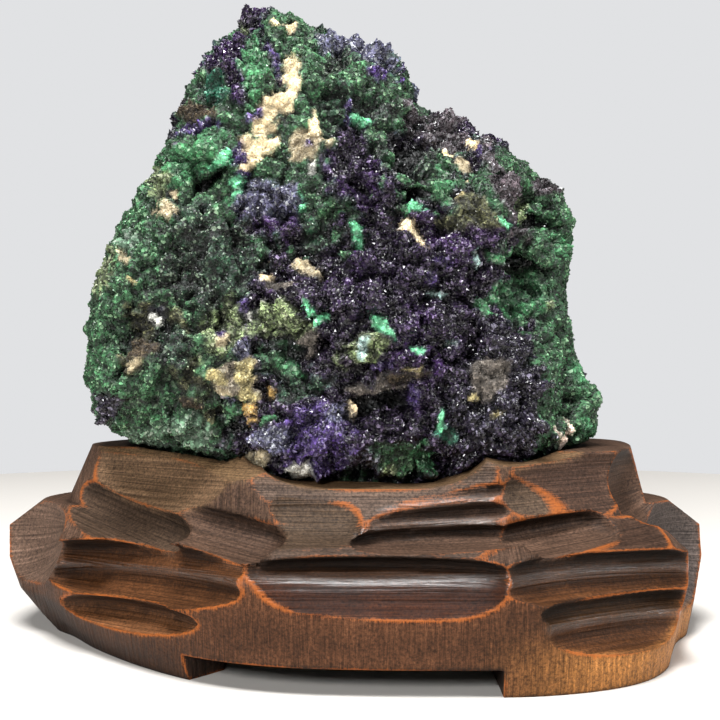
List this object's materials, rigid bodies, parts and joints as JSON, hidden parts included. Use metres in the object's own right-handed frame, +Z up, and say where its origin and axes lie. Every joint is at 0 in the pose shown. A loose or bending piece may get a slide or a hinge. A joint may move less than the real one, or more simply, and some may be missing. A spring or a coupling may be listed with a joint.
{
  "type": "malachite and azurite specimen on a carved wooden stand",
  "caption": "Rough malachite and azurite mineral specimen seated on a footed, gouge-carved hardwood stand.",
  "frame": {"origin": "on the surface it stands on, under the middle of the stand", "axes": "+Z up, +X to the right along the stand's length, front face towards -Y"},
  "size_m": [0.171, 0.1163, 0.1538],
  "materials": {
    "stone": "rough, glittering crystal crust",
    "stained_wood": "dark stain, satin"
  },
  "bodies": {
    "root": {"malachite_stone": "stone", "carved_stand": "stained_wood"}
  },
  "joints": []
}
